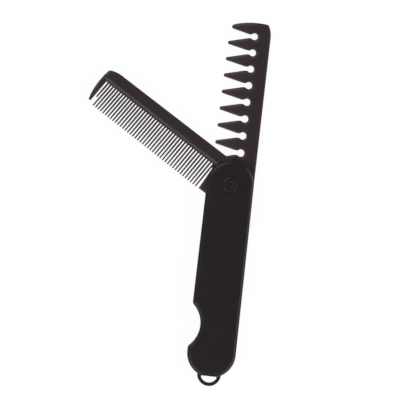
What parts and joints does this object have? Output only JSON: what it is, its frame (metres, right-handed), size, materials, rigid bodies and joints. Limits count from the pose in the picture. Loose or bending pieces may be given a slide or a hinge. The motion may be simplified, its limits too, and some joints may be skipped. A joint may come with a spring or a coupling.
{
  "type": "folding comb",
  "caption": "Folding pocket comb: a wide-toothed and a fine-toothed comb turn on one pivot out of a slotted two-shell handle with a thumb notch and a hanging loop.",
  "frame": {"origin": "on the pivot axis, at the back face of the handle", "axes": "+Y along the open wide comb away from the handle, +Z out of the front face, +X to the right seen from the front"},
  "size_m": [0.1012, 0.2122, 0.0105],
  "materials": {
    "handle": "satin moulded, dark brown-black",
    "cap": "satin moulded, dark brown-black",
    "wide_comb": "satin moulded, dark brown",
    "fine_comb": "satin moulded, dark brown"
  },
  "bodies": {
    "handle": {"back_shell": "handle", "front_shell": "handle", "pivot_cap": "cap"},
    "wide_comb": {"wide_comb": "wide_comb"},
    "fine_comb": {"fine_comb": "fine_comb"}
  },
  "joints": [
    {"name": "wide_comb_fold", "type": "hinge", "parent": "handle", "child": "wide_comb", "pos_m": [0, 0, 0], "axis": [0, 0, 1], "range_deg": [0, 180]},
    {"name": "fine_comb_fold", "type": "hinge", "parent": "handle", "child": "fine_comb", "pos_m": [0, 0, 0], "axis": [0, 0, 1], "range_deg": [-58.7, 119.5]}
  ]
}
